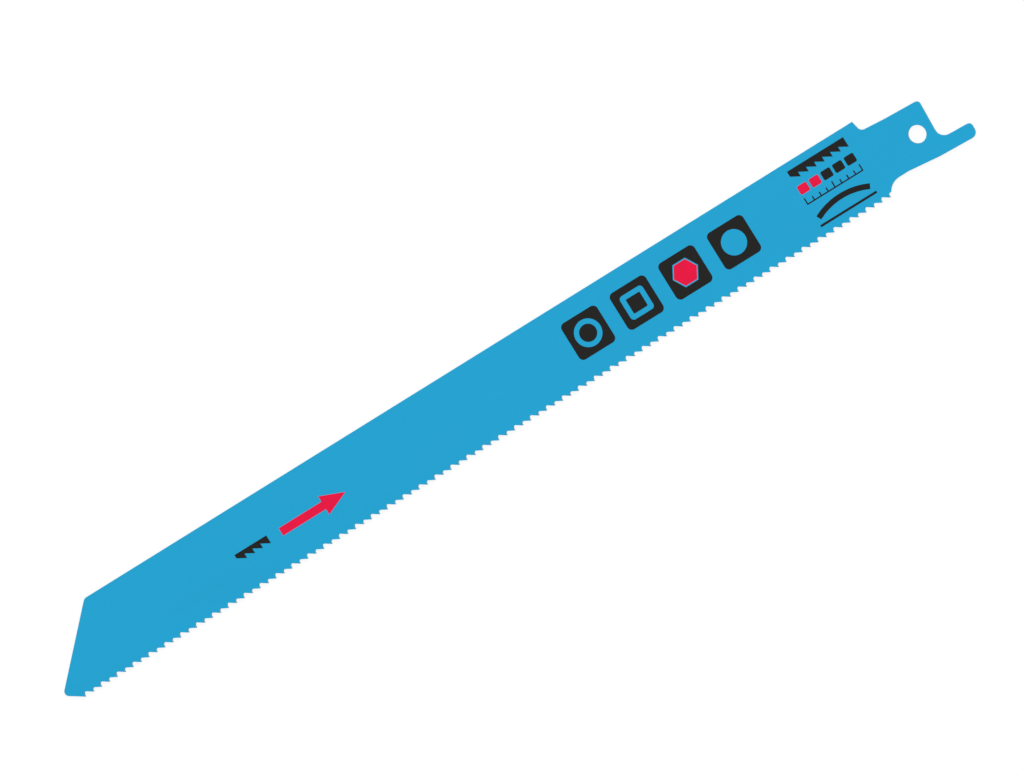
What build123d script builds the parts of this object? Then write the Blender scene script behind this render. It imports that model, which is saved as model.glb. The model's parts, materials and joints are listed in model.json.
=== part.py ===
from build123d import *
from math import asin, atan2, cos, degrees, hypot, radians, sin, tan
import os

# A reciprocating saw blade, lying flat, in millimetres and degrees.
# The origin is the centre of the tang's hole, at half the thickness.
# X runs along the back edge towards the end of the tang, and Y towards that edge.

# Strip
overall_length = 225.0       # nose to the end of the tang
body_width = 17.49           # back edge to tooth tips
thickness = 0.9
edge_break = 0.08            # chamfer along the punched edges, but not on the teeth

# Tang, measured along and across its own axis, which droops towards the teeth
tang_tilt = 2.6
tang_width = 12.35
hole_diameter = 3.85
hole_from_tang_top = 6.1
shoulder_reach = 3.63        # hole centre to the face that the clamp pushes on
shoulder_radius = 0.9
notch_radius = 2.1
prong_reach = 10.95          # hole centre to the end of the prong
prong_width = 3.14
prong_lower_radius = 1.4
prong_upper_radius = 0.95

# Neck, where the tang flares up to the back edge and down to the heel
flare_from_hole = 4.5
flare_rise = 0.2
step_from_hole = 10.1
step_height = 2.55
step_lean = 12.0             # from square to the back edge
step_radius = 1.2
underside_from_hole = 1.95
underside_radius = 12.0
waist_length = 4.5
waist_radius = 4.0
waist_above_tips = 2.65
heel_from_hole = 11.6
heel_angle = 60.0            # from the line of the tips
heel_radius = 3.6

# Nose
nose_angle = 45.5            # from the back edge
nose_back_radius = 1.3
chin_angle = 32.8            # from the line of the tips
chin_above_tips = 2.59
chin_radius = 1.0

# Teeth, which cut on the pull stroke, with deep and shallow gullets in turn
tooth_pitch = 1.9706
deep_gullet = 0.93
shallow_gullet = 0.72
gullet_radius = 0.45
rake_angle = 4.0
tip_land = 0.05
tooth_set = 0.2              # how far each tip leans out of the strip
bend_share = 0.75            # height of the bend, as a share of the shallow gullet
cutter_overrun = 0.2         # how far a cutter reaches past the tips


def on_tang(along, across):
    """A point given along and across the tilted tang, in the blade's own axes."""
    tilt = radians(tang_tilt)
    x = along * cos(tilt) + across * sin(tilt)
    y = across * cos(tilt) - along * sin(tilt)
    return (x, y)


# Edges of the tang, across its own axis
tang_top = hole_from_tang_top
tang_bottom = tang_top - tang_width
prong_top = tang_bottom + prong_width

# Back edge, tip line and waist, from the flared top of the tang
step_foot = on_tang(-step_from_hole, tang_top + flare_rise)
back_y = step_foot[1] + step_height
tip_y = back_y - body_width
waist_y = tip_y + waist_above_tips
step_top = (step_foot[0] - step_height * tan(radians(step_lean)), back_y)

# Heel and waist
heel_x = -heel_from_hole
heel_top_x = heel_x + waist_above_tips / tan(radians(heel_angle))
waist_end_x = heel_top_x + waist_length

# Nose, set back from the end of the tang by the overall length.
# The chin's rounded corner is the foremost point, so its sharp corner lies past it.
prong_corner = on_tang(prong_reach - prong_upper_radius, prong_top - prong_upper_radius)
nose_x = prong_corner[0] + prong_upper_radius - overall_length
half_chin = radians(nose_angle + chin_angle) / 2
chin_turn = radians(nose_angle - chin_angle) / 2
chin_x = nose_x + chin_radius - chin_radius * cos(chin_turn) / sin(half_chin)
chin_y = tip_y + chin_above_tips
nose_back_x = chin_x + (back_y - chin_y) / tan(radians(nose_angle))
chin_foot_x = chin_x + chin_above_tips / tan(radians(chin_angle))

# Row of teeth
first_tip_x = chin_foot_x + tip_land
tooth_count = int((heel_x - first_tip_x) // tooth_pitch) + 1
bend_y = tip_y + bend_share * shallow_gullet

# Outline of the blade before its teeth are cut, each corner with its radius
corners = [
    ((nose_back_x, back_y), nose_back_radius),
    ((chin_x, chin_y), chin_radius),
    ((chin_foot_x, tip_y), 0),
    ((heel_x, tip_y), 0),
    ((heel_top_x, waist_y), heel_radius),
    ((waist_end_x, waist_y), waist_radius),
    (on_tang(underside_from_hole, tang_bottom), underside_radius),
    (on_tang(prong_reach, tang_bottom), prong_lower_radius),
    (on_tang(prong_reach, prong_top), prong_upper_radius),
    (on_tang(shoulder_reach, prong_top), notch_radius),
    (on_tang(shoulder_reach, tang_top), shoulder_radius),
    (on_tang(-flare_from_hole, tang_top), 0),
    (step_foot, step_radius),
    (step_top, 0),
]


def tip_x(index):
    """Where the tip of a tooth stands, counted from the nose."""
    return first_tip_x + index * tooth_pitch


def gullet_cutter(depth):
    """The space behind one tooth, with that tooth's tip at the sketch's origin."""
    rake = radians(rake_angle)
    centre_y = depth - gullet_radius
    centre_x = (gullet_radius - centre_y * sin(rake)) / cos(rake)
    foot_x = tooth_pitch - tip_land
    to_foot = hypot(foot_x - centre_x, centre_y)
    slope = atan2(centre_y, foot_x - centre_x) + asin(gullet_radius / to_foot)
    slope_normal = 90 - degrees(slope)
    rake_normal = 180 + rake_angle
    rake_end = (cutter_overrun * tan(rake), -cutter_overrun)
    slope_end = (foot_x + cutter_overrun / tan(slope), -cutter_overrun)
    with BuildSketch() as cutter:
        with BuildLine():
            root = CenterArc(
                (centre_x, centre_y), gullet_radius, slope_normal, rake_normal - slope_normal
            )
            Polyline(root @ 1, rake_end, slope_end, root @ 0)
        make_face()
    return cutter.sketch


# Face of the blade with its gullets cut. The last gullet runs out into the heel.
deep_places = [(tip_x(i), tip_y) for i in range(0, tooth_count, 2)]
shallow_places = [(tip_x(i), tip_y) for i in range(1, tooth_count, 2)]
last_place = (tip_x(tooth_count - 1), tip_y)
deep_cutter = gullet_cutter(deep_gullet)
shallow_cutter = gullet_cutter(shallow_gullet)

with BuildSketch() as toothed_face:
    with BuildLine():
        FilletPolyline(
            [point for point, radius in corners],
            radius=[radius for point, radius in corners],
            close=True,
        )
    make_face()
    with Locations(*deep_places, last_place):
        add(deep_cutter, mode=Mode.SUBTRACT)
    with Locations(*shallow_places):
        add(shallow_cutter, mode=Mode.SUBTRACT)


def leaning_tips(first, side):
    """Every other tooth below the bend, leaning out of the strip on one side."""
    other_cells = [
        (tip_x(i) + gullet_radius, bend_y) for i in range(1 - first, tooth_count + 1, 2)
    ]
    shear = side * tooth_set / (bend_y - tip_y)
    past_tips = tip_y - cutter_overrun
    past_bend = bend_y + cutter_overrun

    def section_corner(y, z):
        """A corner of the leaning section, which shifts with its distance past the bend."""
        return (y, z + shear * (bend_y - y))

    with BuildPart() as tips:
        with BuildSketch():
            add(toothed_face.sketch)
            with Locations((0, bend_y)):
                Rectangle(
                    2 * overall_length,
                    2 * body_width,
                    align=(Align.CENTER, Align.MIN),
                    mode=Mode.SUBTRACT,
                )
            with Locations(*other_cells):
                Rectangle(
                    tooth_pitch,
                    bend_y - past_tips,
                    align=(Align.MAX, Align.MAX),
                    mode=Mode.SUBTRACT,
                )
        extrude(amount=thickness / 2 + tooth_set, both=True)
        with BuildSketch(Plane.YZ):
            Polygon(
                section_corner(past_tips, -thickness / 2),
                section_corner(past_bend, -thickness / 2),
                section_corner(past_bend, thickness / 2),
                section_corner(past_tips, thickness / 2),
                align=None,
            )
        extrude(amount=overall_length, both=True, mode=Mode.INTERSECT)
    return tips.part


tips_up = leaning_tips(first=0, side=1)
tips_down = leaning_tips(first=1, side=-1)

# The flat blade down to the bend of the teeth, its broken edges, then the leaning tips
gullet_top_y = tip_y + deep_gullet
with BuildPart() as saw_blade:
    with BuildSketch():
        add(toothed_face.sketch)
        with Locations((0, bend_y)):
            Rectangle(
                2 * overall_length,
                body_width,
                align=(Align.CENTER, Align.MAX),
                mode=Mode.SUBTRACT,
            )
    extrude(amount=thickness / 2, both=True)
    rims = [side.outer_wire() for side in saw_blade.faces().filter_by(Axis.Z)]
    punched_edges = [
        edge
        for rim in rims
        for edge in rim.edges()
        if edge.bounding_box().min.Y > gullet_top_y
    ]
    chamfer(punched_edges, length=edge_break)
    Hole(hole_diameter / 2)
    add([tips_up, tips_down])

saw_blade.part.label = "saw_blade"
os.makedirs("parts", exist_ok=True)
export_step(saw_blade.part, "parts/saw_blade.step")
print(f"teeth {tooth_count}, volume {saw_blade.part.volume:.1f} mm3")
print(saw_blade.part.bounding_box())
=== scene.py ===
"""A reciprocating saw blade on a white floor, seen from above.

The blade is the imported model, with a procedural material for its enamel and cut edges.
Its print is thin pieces of ink on the upper side, laid out in millimetres from the tang's hole.
"""

import json
import math

import bmesh
import bpy
from mathutils import Matrix, Vector


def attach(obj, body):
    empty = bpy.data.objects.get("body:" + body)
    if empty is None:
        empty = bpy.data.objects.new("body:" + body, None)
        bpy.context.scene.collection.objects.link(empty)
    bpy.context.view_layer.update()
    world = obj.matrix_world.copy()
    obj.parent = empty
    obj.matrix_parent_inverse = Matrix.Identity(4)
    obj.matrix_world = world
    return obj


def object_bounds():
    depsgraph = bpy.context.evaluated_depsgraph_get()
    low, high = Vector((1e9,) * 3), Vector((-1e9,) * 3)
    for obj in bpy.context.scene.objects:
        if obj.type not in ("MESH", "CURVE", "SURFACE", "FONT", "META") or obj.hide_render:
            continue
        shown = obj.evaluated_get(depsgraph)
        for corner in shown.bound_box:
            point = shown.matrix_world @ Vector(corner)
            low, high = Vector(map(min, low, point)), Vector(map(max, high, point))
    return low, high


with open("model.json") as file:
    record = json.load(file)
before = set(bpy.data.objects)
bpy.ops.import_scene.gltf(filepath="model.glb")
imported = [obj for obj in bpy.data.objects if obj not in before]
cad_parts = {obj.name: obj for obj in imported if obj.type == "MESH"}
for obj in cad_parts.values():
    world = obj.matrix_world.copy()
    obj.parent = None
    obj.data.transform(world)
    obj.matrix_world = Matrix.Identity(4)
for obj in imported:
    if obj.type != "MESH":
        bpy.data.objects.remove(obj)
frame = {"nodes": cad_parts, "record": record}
cad_low, cad_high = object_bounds()
mounts = {mount["name"]: Vector(mount["pos_m"]) for mount in frame["record"]["mounts"]}

MM = 0.001
BLADE = frame["nodes"]["saw_blade"]
HOLE = mounts["tang_hole"]
UPPER_SIDE = mounts["tang_face_upper"].z
FLOOR_HEIGHT = cad_low.z

# Camera, placed from where the photograph shows the tang's hole
PHOTO_SIZE = (1024, 769)
HOLE_PIXEL = (917.5, 134.1)
PIXELS_PER_METRE = 4844
CAMERA_TILT = 10.0              # degrees from straight down, towards the tang
CAMERA_ROLL = 31.82             # degrees that the blade climbs in the picture
LENS = 1200.0                   # millimetres, long enough for hardly any perspective
SENSOR = 36.0                   # millimetres
FAR_CLIP = 3.0                  # as a multiple of the camera's distance

# Light, in shares of the level at which a colour renders as it is written
WORLD_SHARE = 0.7
SOFTBOX_SHARE = 0.3
SOFTBOX_DISTANCE = 3.6          # metres
SOFTBOX_SIDE = 2.4              # metres
SOFTBOX_LEAN = 30.0             # degrees from the camera's own line, to the top of the picture

# Floor, dark enough for only a faint shadow, and with a glow that makes it white to the camera
FLOOR_SIDE = 8.0                # metres
FLOOR_ALBEDO = 0.15
FLOOR_GLOW = 0.87

# Colours, as sRGB values
ENAMEL_BLUE = (21, 161, 208)
# Lighter than the enamel: thinner paint on the broken rims, and painted light against the shade
# they get from leaning away from the light above
RIM_BLUE_PAINTED_LIGHTER = (26, 176, 224)
# Lighter than the enamel too: thin enamel on the cut edges, with painted light standing in for the
# light their upright faces lack
THIN_ENAMEL_PAINTED_LIGHTER = (38, 176, 222)
OXIDE = (54, 64, 76)
STEEL_DARK = (136, 141, 148)
STEEL_BRIGHT = (202, 205, 210)
INK_DARK = (25, 25, 24)
INK_RED = (230, 14, 64)

# Shades, as multiples of a colour's own brightness
CLOUD_SHADES = (0.96, 1.04)
COVER_SHADES = (0.93, 1.07)
ROLL_SHADE = 0.8
ROLL_SHARE = 0.1                # how far the deepest lines go towards their shade

# Steepness, as how much of a face's own direction points up or down
CUT_EDGE_BELOW = 0.5
RIM_BELOW = 0.85

# Finish, in millimetres above the line of the tooth tips
GRINDING_START = 0.5
GRINDING_END = 0.7
GRINDING_UNEVEN = 0.3
SEAM_HEIGHT = 2.4
SEAM_WIDTH = 0.25

# Grain, as the length of a pattern's features along each axis in millimetres
CLOUD_GRAIN = (22, 9, 9)
ROLL_GRAIN = (30, 0.3, 0.3)
PEEL_GRAIN = (0.7, 0.6, 0.6)
SPECK_GRAIN = (0.5, 0.5, 0.3)
SHEAR_GRAIN = (0.09, 0.09, 1.5)
COVER_GRAIN = (1.8, 1.8, 1.8)
MESH_GRAIN = (0.12, 0.12, 0.12)

# Limits, as the levels of a pattern between which what it does grows from none to all
ROLL_LIMITS = (0.3, 0.7)
PEEL_LIMITS = (0.2, 0.8)
SPECK_LIMITS = (0.52, 0.68)
WORN_LIMITS = (0.35, 0.6)
SHEAR_LIMITS = (0.3, 0.7)
MESH_LIMITS = (0.25, 0.75)

# Relief, as its depth in millimetres
PEEL_DEPTH = 0.003
ROLL_DEPTH = 0.0008
SEAM_DEPTH = 0.002
SHEAR_DEPTH = 0.01
MESH_DEPTH = 0.0015

# Gloss: roughness from the smoothest to the roughest places, and the strength of reflections
ENAMEL_ROUGHNESS = (0.34, 0.46)
EDGE_ROUGHNESS = (0.4, 0.6)
INK_ROUGHNESS = (0.42, 0.56)
ENAMEL_SPECULAR = 0.2
INK_SPECULAR = 0.12

# Print, in millimetres
INK_THICKNESS = 0.015           # above the blade's side
INK_SUNK = 0.005                # below it
ARC_STEP = 6.0                  # degrees between the points of an arc


def linear(colour, shade=1.0):
    """An sRGB colour of 0 to 255 as a linear colour with alpha, lighter or darker by a shade."""
    values = []
    for value in colour:
        part = value / 255
        level = part / 12.92 if part <= 0.04045 else ((part + 0.055) / 1.055) ** 2.4
        values.append(level * shade)
    return (*values, 1.0)


# Material nodes


class Nodes:
    """One node tree, with a short call for each kind of node that the scene uses."""

    def __init__(self, tree):
        self.tree = tree

    def add(self, kind, settings=None, values=None):
        """A new node with its settings, its inputs linked or set by name or number."""
        node = self.tree.nodes.new(kind)
        for name, value in (settings or {}).items():
            setattr(node, name, value)
        for key, value in (values or {}).items():
            self.feed(node.inputs[key], value)
        return node

    def feed(self, socket, value):
        """Links an input to another node's output, or sets it to a plain value."""
        if isinstance(value, bpy.types.NodeSocket):
            self.tree.links.new(value, socket)
        else:
            socket.default_value = value

    def math(self, operation, first, second=0.0):
        """The result of one operation on one or two numbers."""
        settings = {"operation": operation}
        return self.add("ShaderNodeMath", settings, {0: first, 1: second}).outputs[0]

    def mix(self, factor, first, second):
        """Two colours mixed by a factor from 0 to 1."""
        settings = {"data_type": "RGBA"}
        return self.add("ShaderNodeMix", settings, {0: factor, 6: first, 7: second}).outputs[2]

    def tone(self, factor, colour, shades):
        """One colour, from its darker to its lighter shade as a factor goes from 0 to 1."""
        darker, lighter = (linear(colour, shade) for shade in shades)
        return self.mix(factor, darker, lighter)

    def span(self, value, low, high, to_low=0.0, to_high=1.0):
        """A value from low to high, brought smoothly to another range and held inside it."""
        settings = {"interpolation_type": "SMOOTHSTEP"}
        values = {
            "Value": value,
            "From Min": low,
            "From Max": high,
            "To Min": to_low,
            "To Max": to_high,
        }
        return self.add("ShaderNodeMapRange", settings, values).outputs[0]

    def noise(self, grain, detail=2.0):
        """Noise from 0 to 1 whose features are as long along each axis as grain says, in mm."""
        place = self.add("ShaderNodeTexCoord").outputs["Object"]
        scale = tuple(1 / (length * MM) for length in grain)
        settings = {"operation": "MULTIPLY"}
        scaled = self.add("ShaderNodeVectorMath", settings, {0: place, 1: scale}).outputs[0]
        values = {"Vector": scaled, "Scale": 1.0, "Detail": detail}
        return self.add("ShaderNodeTexNoise", values=values).outputs[0]

    def bump(self, height, depth, below=None):
        """A normal that follows a height from 0 to 1, of a real depth in mm."""
        values = {"Height": height, "Distance": depth * MM}
        if below is not None:
            values["Normal"] = below
        return self.add("ShaderNodeBump", values=values).outputs[0]

    def seen_itself(self):
        """1 for what is seen, directly, in a reflection or through glass, and otherwise 0."""
        rays = self.add("ShaderNodeLightPath").outputs
        direct_or_reflected = self.math("MAXIMUM", rays["Is Camera Ray"], rays["Is Glossy Ray"])
        return self.math("MAXIMUM", direct_or_reflected, rays["Is Transmission Ray"])


def new_material(name):
    """A new material, its nodes and its shader."""
    material = bpy.data.materials.new(name)
    material.use_nodes = True
    return material, Nodes(material.node_tree), material.node_tree.nodes["Principled BSDF"]


def enamel_material():
    """Satin blue enamel, thinner on the cut edges and ground through to steel at the tooth tips;
    its rims and cut edges carry painted light.
    """
    material, nodes, shader = new_material("enamel")
    cloud = nodes.noise(CLOUD_GRAIN, detail=3)
    roll_lines = nodes.noise(ROLL_GRAIN, detail=4)
    orange_peel = nodes.noise(PEEL_GRAIN)
    specks = nodes.noise(SPECK_GRAIN, detail=3)
    shear_marks = nodes.noise(SHEAR_GRAIN, detail=3)

    # Cut edges stand square to the flat sides, and the broken rims between them at half the angle
    places = nodes.add("ShaderNodeTexCoord")
    upward = nodes.add("ShaderNodeSeparateXYZ", values={0: places.outputs["Normal"]}).outputs[2]
    across = nodes.add("ShaderNodeSeparateXYZ", values={0: places.outputs["Object"]}).outputs[1]
    flatness = nodes.math("ABSOLUTE", upward)
    cut_edge = nodes.math("LESS_THAN", flatness, CUT_EDGE_BELOW)
    rim = nodes.math("LESS_THAN", flatness, RIM_BELOW)
    flat_side = nodes.math("SUBTRACT", 1.0, cut_edge)

    # Only the ends of the teeth were ground, to an uneven line
    above_tips = nodes.math("SUBTRACT", across, cad_low.y)
    unevenness = nodes.math("MULTIPLY", specks, GRINDING_UNEVEN * MM)
    ground_to = nodes.math("ADD", above_tips, unevenness)
    near_tips = nodes.span(ground_to, GRINDING_END * MM, GRINDING_START * MM)
    ground = nodes.math("MULTIPLY", cut_edge, near_tips)

    # Enamel: slow changes of tone, and the rolled strip's lengthwise lines under it
    clouded = nodes.tone(cloud, ENAMEL_BLUE, CLOUD_SHADES)
    line_depth = nodes.span(roll_lines, *ROLL_LIMITS, 0.0, ROLL_SHARE)
    full_enamel = nodes.mix(line_depth, clouded, linear(ENAMEL_BLUE, ROLL_SHADE))
    # The broken rims take a lighter blue: thinner enamel, and painted light that cancels the shade
    # falling on them
    side_enamel_rims_lighter = nodes.mix(rim, full_enamel, linear(RIM_BLUE_PAINTED_LIGHTER))

    # Thin enamel over the marks of the punch, with oxide showing through in specks, in a blue
    # lighter than the sides': painted light for the dim light on the upright cut edges
    worn_marks = nodes.span(shear_marks, *WORN_LIMITS)
    bare = nodes.math("MULTIPLY", nodes.span(specks, *SPECK_LIMITS), worn_marks)
    thin_enamel_painted_lighter = nodes.mix(bare, linear(THIN_ENAMEL_PAINTED_LIGHTER), linear(OXIDE))
    painted = nodes.mix(cut_edge, side_enamel_rims_lighter, thin_enamel_painted_lighter)
    steel = nodes.mix(shear_marks, linear(STEEL_DARK), linear(STEEL_BRIGHT))
    nodes.feed(shader.inputs["Base Color"], nodes.mix(ground, painted, steel))
    nodes.feed(shader.inputs["Metallic"], ground)

    # Gloss: orange peel scatters it on the sides, and the marks of the punch on cut edges
    enamel_roughness = nodes.span(orange_peel, *PEEL_LIMITS, *ENAMEL_ROUGHNESS)
    edge_roughness = nodes.span(shear_marks, *SHEAR_LIMITS, *EDGE_ROUGHNESS)
    choice = {0: cut_edge, 2: enamel_roughness, 3: edge_roughness}
    roughness = nodes.add("ShaderNodeMix", {"data_type": "FLOAT"}, choice).outputs[0]
    nodes.feed(shader.inputs["Roughness"], roughness)
    shader.inputs["Specular IOR Level"].default_value = ENAMEL_SPECULAR

    # Relief: faint on the enamel, with the seam of the welded tooth strip, and deeper on cut edges
    from_seam = nodes.math("ABSOLUTE", nodes.math("SUBTRACT", above_tips, SEAM_HEIGHT * MM))
    seam = nodes.span(from_seam, SEAM_WIDTH * MM, 0.0)
    normal = nodes.bump(nodes.math("MULTIPLY", orange_peel, flat_side), PEEL_DEPTH)
    normal = nodes.bump(nodes.math("MULTIPLY", roll_lines, flat_side), ROLL_DEPTH, normal)
    normal = nodes.bump(nodes.math("MULTIPLY", seam, flat_side), SEAM_DEPTH, normal)
    normal = nodes.bump(nodes.math("MULTIPLY", shear_marks, cut_edge), SHEAR_DEPTH, normal)
    nodes.feed(shader.inputs["Normal"], normal)
    return material


def ink_material(name, colour):
    """Screen-printed ink, with the fine grain that the printing mesh leaves."""
    material, nodes, shader = new_material(name)
    cover = nodes.noise(COVER_GRAIN, detail=3)
    mesh_grain = nodes.noise(MESH_GRAIN)
    roughness = nodes.span(mesh_grain, *MESH_LIMITS, *INK_ROUGHNESS)
    nodes.feed(shader.inputs["Base Color"], nodes.tone(cover, colour, COVER_SHADES))
    nodes.feed(shader.inputs["Roughness"], roughness)
    nodes.feed(shader.inputs["Normal"], nodes.bump(mesh_grain, MESH_DEPTH))
    shader.inputs["Specular IOR Level"].default_value = INK_SPECULAR
    return material


# Outlines of the print, in millimetres


def on_circle(centre, radius, angle):
    """The point of a circle at an angle in degrees."""
    turn = math.radians(angle)
    return (centre[0] + radius * math.cos(turn), centre[1] + radius * math.sin(turn))


def arc(centre, radius, start, end):
    """Points along an arc, between two angles in degrees."""
    steps = round(abs(end - start) / ARC_STEP)
    angles = [start + (end - start) * step / steps for step in range(steps + 1)]
    return [on_circle(centre, radius, angle) for angle in angles]


def disc(centre, radius):
    """Points round a whole circle."""
    return arc(centre, radius, 0, 360)[:-1]


def hexagon(centre, radius):
    """A hexagon that lies on one of its sides, its radius reaching to its corners."""
    return [on_circle(centre, radius, 60 * corner) for corner in range(6)]


def box(low, high, radius):
    """A rectangle with rounded corners, from its lowest to its highest corner."""
    left, bottom = low[0] + radius, low[1] + radius
    right, top = high[0] - radius, high[1] - radius
    turns = [((right, top), 0), ((left, top), 90), ((left, bottom), 180), ((right, bottom), 270)]
    return [point for centre, start in turns for point in arc(centre, radius, start, start + 90)]


def square(centre, side, radius):
    """A square with rounded corners."""
    half = side / 2
    low = (centre[0] - half, centre[1] - half)
    high = (centre[0] + half, centre[1] + half)
    return box(low, high, radius)


def print_piece(name, material, shapes):
    """A thin piece of ink. Each shape is an outline and then any gaps inside it."""
    underside = UPPER_SIDE - INK_SUNK * MM
    form = bmesh.new()
    for outlines in shapes:
        edges = []
        for points in outlines:
            corners = [form.verts.new((x * MM, y * MM, underside)) for x, y in points]
            edges += [form.edges.new(pair) for pair in zip(corners, corners[1:] + corners[:1])]
        bmesh.ops.triangle_fill(form, use_beauty=True, edges=edges, normal=(0, 0, 1))
    raised = bmesh.ops.extrude_face_region(form, geom=form.faces[:])["geom"]
    tops = [item for item in raised if isinstance(item, bmesh.types.BMVert)]
    bmesh.ops.translate(form, verts=tops, vec=(0, 0, (INK_SUNK + INK_THICKNESS) * MM))
    bmesh.ops.recalc_face_normals(form, faces=form.faces[:])

    mesh = bpy.data.meshes.new(name)
    form.to_mesh(mesh)
    form.free()
    mesh.materials.append(material)
    piece = bpy.data.objects.new(name, mesh)
    bpy.context.scene.collection.objects.link(piece)
    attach(piece, "root")


# Middle of the blade: a row of tiles, each with the section of a workpiece left bare in it

TILE_COUNT = 4
TILE_SIDE = 8.8
TILE_RADIUS = 1.1
TILE_PITCH = 12.0
TILE_ROW_MIDDLE = (-62.5, 1.0)
ROUND_TUBE_RADIUS = 3.0
ROUND_BORE_RADIUS = 1.9
SQUARE_TUBE_SIDE = 5.6
SQUARE_TUBE_RADIUS = 0.8
SQUARE_BORE_SIDE = 3.4
SQUARE_BORE_RADIUS = 0.25
SOLID_BAR_RADIUS = 2.75
HEXAGON_RADIUS = 3.1            # middle to corner
RED_INSET = 0.3                 # from that hexagon's corners to the red one's


def tile_centre(index):
    """The middle of one of the tiles, counted from the nose."""
    from_middle = index - (TILE_COUNT - 1) / 2
    return (TILE_ROW_MIDDLE[0] + from_middle * TILE_PITCH, TILE_ROW_MIDDLE[1])


def tile(index):
    """The outline of one of the tiles."""
    return square(tile_centre(index), TILE_SIDE, TILE_RADIUS)


def round_tube_tile(index):
    """A tile with a round tube left bare."""
    centre = tile_centre(index)
    tube = disc(centre, ROUND_TUBE_RADIUS)
    bore = disc(centre, ROUND_BORE_RADIUS)
    return [[tile(index), tube], [bore]]


def square_tube_tile(index):
    """A tile with a square tube left bare."""
    centre = tile_centre(index)
    tube = square(centre, SQUARE_TUBE_SIDE, SQUARE_TUBE_RADIUS)
    bore = square(centre, SQUARE_BORE_SIDE, SQUARE_BORE_RADIUS)
    return [[tile(index), tube], [bore]]


def hexagon_tile(index):
    """A tile with a hexagonal bar left bare, for the red ink."""
    return [[tile(index), hexagon(tile_centre(index), HEXAGON_RADIUS)]]


def solid_bar_tile(index):
    """A tile with a round bar left bare."""
    return [[tile(index), disc(tile_centre(index), SOLID_BAR_RADIUS)]]


# Towards the nose: an arrow along the cutting stroke, behind a short row of saw teeth

ARROW_TAIL_X = -157.5
ARROW_TIP_X = -141.5
ARROW_Y = -0.5
ARROW_HEAD_LENGTH = 5.4
ARROW_HEAD_HALF = 2.2
ARROW_SHAFT_HALF = 0.9
PRINTED_PITCH = 1.97
PRINTED_DEPTH = 1.1
NOSE_ROW_CORNER = (-168.4, 0.5)
NOSE_ROW_SPINE = 0.8
NOSE_ROW_TEETH = 4


def arrow():
    """An arrow that points at the tang."""
    neck_x = ARROW_TIP_X - ARROW_HEAD_LENGTH
    upper_half = [
        (ARROW_TAIL_X, ARROW_SHAFT_HALF),
        (neck_x, ARROW_SHAFT_HALF),
        (neck_x, ARROW_HEAD_HALF),
    ]
    lower_half = [(x, -y) for x, y in reversed(upper_half)]
    return [(x, ARROW_Y + y) for x, y in [*upper_half, (ARROW_TIP_X, 0), *lower_half]]


def saw_row(corner, spine, count):
    """A strip with a row of teeth along its lower side, leaning as the blade's own do."""
    left, top = corner
    root = top - spine
    points = [(left, top)]
    for index in range(count):
        points.append((left + index * PRINTED_PITCH, root))
        points.append((left + (index + 1) * PRINTED_PITCH, root - PRINTED_DEPTH))
    return [*points, (left + count * PRINTED_PITCH, top)]


# At the heel: a gauge of the teeth, a row of marks, a scale, and a bent strip over a straight one

HEEL_LEFT = -27.3
HEEL_TEETH = 7
HEEL_RIGHT = HEEL_LEFT + HEEL_TEETH * PRINTED_PITCH
GAUGE_TOP = 7.6
GAUGE_SPINE = 1.2
MARK_LOW = 1.9
MARK_HIGH = 3.9
MARK_GAP = 0.6
MARK_RADIUS = 0.35
MARK_COUNT = 5
RED_MARKS = 2
SCALE_Y = -0.5
SCALE_LINE = 0.28
TICK_COUNT = 9
LONG_TICK_EVERY = 4
LONG_TICK = 1.3
SHORT_TICK = 0.8
BENT_TOP = -1.9
BENT_RADIUS = 15.0
BENT_HALF_ANGLE = 26.0
BENT_WALL = 1.2
STRAIGHT_LOW = -5.9
STRAIGHT_HIGH = -5.4
STRAIGHT_RADIUS = 0.1


def mark(index):
    """One of a row of equal marks with rounded corners."""
    width = (HEEL_RIGHT - HEEL_LEFT - (MARK_COUNT - 1) * MARK_GAP) / MARK_COUNT
    left = HEEL_LEFT + index * (width + MARK_GAP)
    return [box((left, MARK_LOW), (left + width, MARK_HIGH), MARK_RADIUS)]


def scale():
    """One outline round a thin line and its ticks, which are longer at its ends and middle."""
    step = (HEEL_RIGHT - HEEL_LEFT - SCALE_LINE) / (TICK_COUNT - 1)
    foot = SCALE_Y + SCALE_LINE
    ticks = []
    for index in range(TICK_COUNT):
        left = HEEL_LEFT + index * step
        right = left + SCALE_LINE
        top = foot + (SHORT_TICK if index % LONG_TICK_EVERY else LONG_TICK)
        ticks += [(left, foot), (left, top), (right, top), (right, foot)]
    # The end ticks stand flush with the line's ends, so their outer feet are not corners
    return [[(HEEL_RIGHT, SCALE_Y), (HEEL_LEFT, SCALE_Y), *ticks[1:-1]]]


def bent_strip():
    """A strip bent into a shallow arc, its ends square to it."""
    centre = ((HEEL_LEFT + HEEL_RIGHT) / 2, BENT_TOP - BENT_RADIUS)
    high, low = 90 + BENT_HALF_ANGLE, 90 - BENT_HALF_ANGLE
    return [arc(centre, BENT_RADIUS, high, low) + arc(centre, BENT_RADIUS - BENT_WALL, low, high)]


def straight_strip():
    """A thin straight strip under the bent one."""
    return [box((HEEL_LEFT, STRAIGHT_LOW), (HEEL_RIGHT, STRAIGHT_HIGH), STRAIGHT_RADIUS)]


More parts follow.
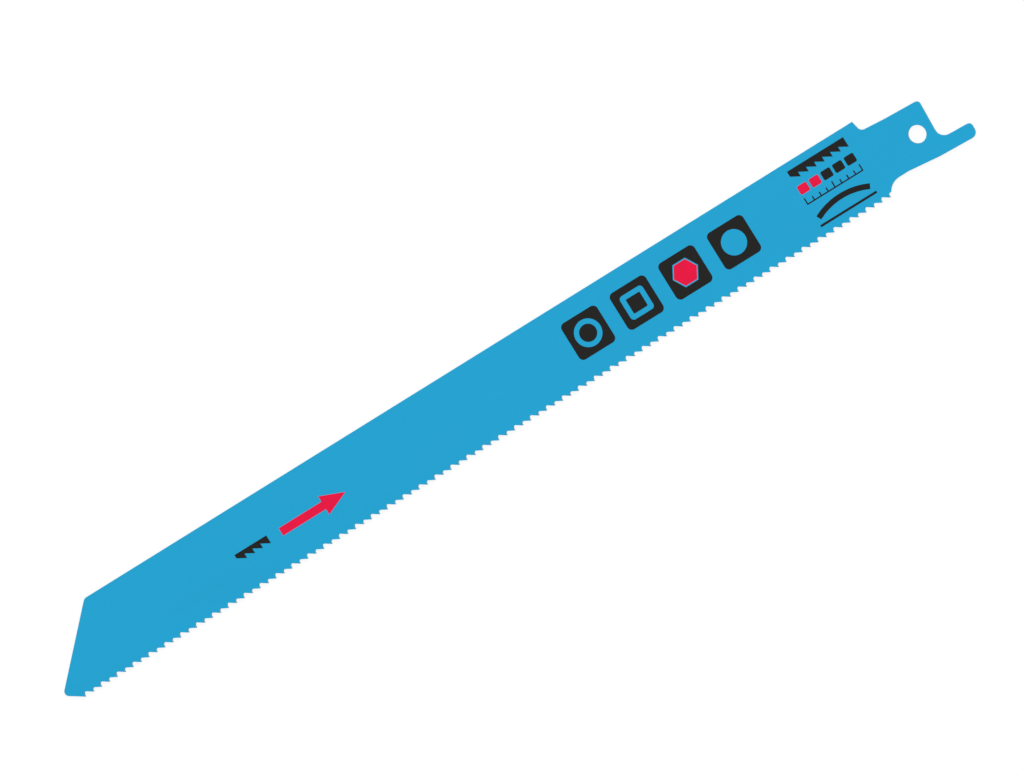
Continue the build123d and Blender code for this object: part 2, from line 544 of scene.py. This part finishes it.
def add_print():
    """All the print on the blade's upper side."""
    dark = ink_material("dark_ink", INK_DARK)
    red = ink_material("red_ink", INK_RED)
    dark_tiles = round_tube_tile(0) + square_tube_tile(1) + hexagon_tile(2) + solid_bar_tile(3)
    red_hexagon = hexagon(tile_centre(2), HEXAGON_RADIUS - RED_INSET)
    print_piece("print_tiles_dark", dark, dark_tiles)
    print_piece("print_hexagon_red", red, [[red_hexagon]])

    nose_row = saw_row(NOSE_ROW_CORNER, NOSE_ROW_SPINE, NOSE_ROW_TEETH)
    print_piece("print_nose_dark", dark, [[nose_row]])
    print_piece("print_nose_red", red, [[arrow()]])

    gauge = saw_row((HEEL_LEFT, GAUGE_TOP), GAUGE_SPINE, HEEL_TEETH)
    dark_marks = [mark(index) for index in range(RED_MARKS, MARK_COUNT)]
    heel_dark = [[gauge], *dark_marks, scale(), bent_strip(), straight_strip()]
    print_piece("print_heel_dark", dark, heel_dark)
    print_piece("print_heel_red", red, [mark(index) for index in range(RED_MARKS)])


# Stage


def add_floor():
    """A white floor that keeps the blade's faint shadow."""
    half = FLOOR_SIDE / 2
    signs = ((-1, -1), (1, -1), (1, 1), (-1, 1))
    corners = [(x * half, y * half, FLOOR_HEIGHT) for x, y in signs]
    mesh = bpy.data.meshes.new("floor")
    mesh.from_pydata(corners, [], [(0, 1, 2, 3)])
    floor = bpy.data.objects.new("floor", mesh)
    bpy.context.scene.collection.objects.link(floor)

    material = bpy.data.materials.new("floor")
    material.use_nodes = True
    material.node_tree.nodes.clear()
    nodes = Nodes(material.node_tree)
    pale = (FLOOR_ALBEDO, FLOOR_ALBEDO, FLOOR_ALBEDO, 1)
    diffuse = nodes.add("ShaderNodeBsdfDiffuse", values={"Color": pale})
    strength = nodes.math("MULTIPLY", nodes.seen_itself(), FLOOR_GLOW)
    glow = nodes.add("ShaderNodeEmission", values={"Strength": strength})
    both = nodes.add("ShaderNodeAddShader", values={0: diffuse.outputs[0], 1: glow.outputs[0]})
    nodes.add("ShaderNodeOutputMaterial", values={"Surface": both.outputs[0]})
    mesh.materials.append(material)


def add_camera():
    """The camera, turned as the photograph's and placed so that the hole falls on its pixel."""
    tilt, roll = math.radians(CAMERA_TILT), math.radians(CAMERA_ROLL)
    back = Vector((math.sin(tilt), 0, math.cos(tilt)))
    along = Vector((math.cos(tilt), 0, -math.sin(tilt)))
    across = Vector((0, 1, 0))
    right = math.cos(roll) * along - math.sin(roll) * across
    up = math.sin(roll) * along + math.cos(roll) * across

    width, height = PHOTO_SIZE
    hole_right = (HOLE_PIXEL[0] - width / 2) / PIXELS_PER_METRE
    hole_up = (height / 2 - HOLE_PIXEL[1]) / PIXELS_PER_METRE
    target = HOLE - hole_right * right - hole_up * up
    distance = LENS / SENSOR * width / PIXELS_PER_METRE

    camera = bpy.data.objects.new("camera", bpy.data.cameras.new("camera"))
    camera.data.lens = LENS
    camera.data.sensor_width = SENSOR
    camera.data.clip_end = FAR_CLIP * distance
    turn = Matrix((right, up, back)).transposed().to_4x4()
    camera.matrix_world = Matrix.Translation(target + distance * back) @ turn
    bpy.context.scene.collection.objects.link(camera)
    bpy.context.scene.camera = camera
    return target, up, back


def add_lights(target, up, back):
    """An even white world, and a large softbox that leans to the top of the picture."""
    world = bpy.data.worlds.new("world")
    world.use_nodes = True
    bpy.context.scene.world = world
    nodes = Nodes(world.node_tree)
    background = world.node_tree.nodes["Background"]
    background.inputs["Color"].default_value = (1, 1, 1, 1)
    more = nodes.math("MULTIPLY", nodes.seen_itself(), 1 - WORLD_SHARE)
    nodes.feed(background.inputs["Strength"], nodes.math("ADD", more, WORLD_SHARE))

    lean = math.radians(SOFTBOX_LEAN)
    towards = math.cos(lean) * back + math.sin(lean) * up
    softbox = bpy.data.objects.new("softbox", bpy.data.lights.new("softbox", "AREA"))
    softbox.data.size = SOFTBOX_SIDE
    # The power that gives its share at the floor, for a wide lamp that leans over and faces it
    spread = math.pi * SOFTBOX_DISTANCE**2 + SOFTBOX_SIDE**2
    softbox.data.energy = SOFTBOX_SHARE * math.pi * spread / towards.z
    softbox.location = target + SOFTBOX_DISTANCE * towards
    softbox.rotation_mode = "QUATERNION"
    softbox.rotation_quaternion = (-towards).to_track_quat("-Z", "Y")
    softbox.visible_camera = False
    bpy.context.scene.collection.objects.link(softbox)


BLADE.data.materials.clear()
BLADE.data.materials.append(enamel_material())
add_print()
add_floor()
add_lights(*add_camera())

bpy.context.scene.view_settings.view_transform = "Standard"
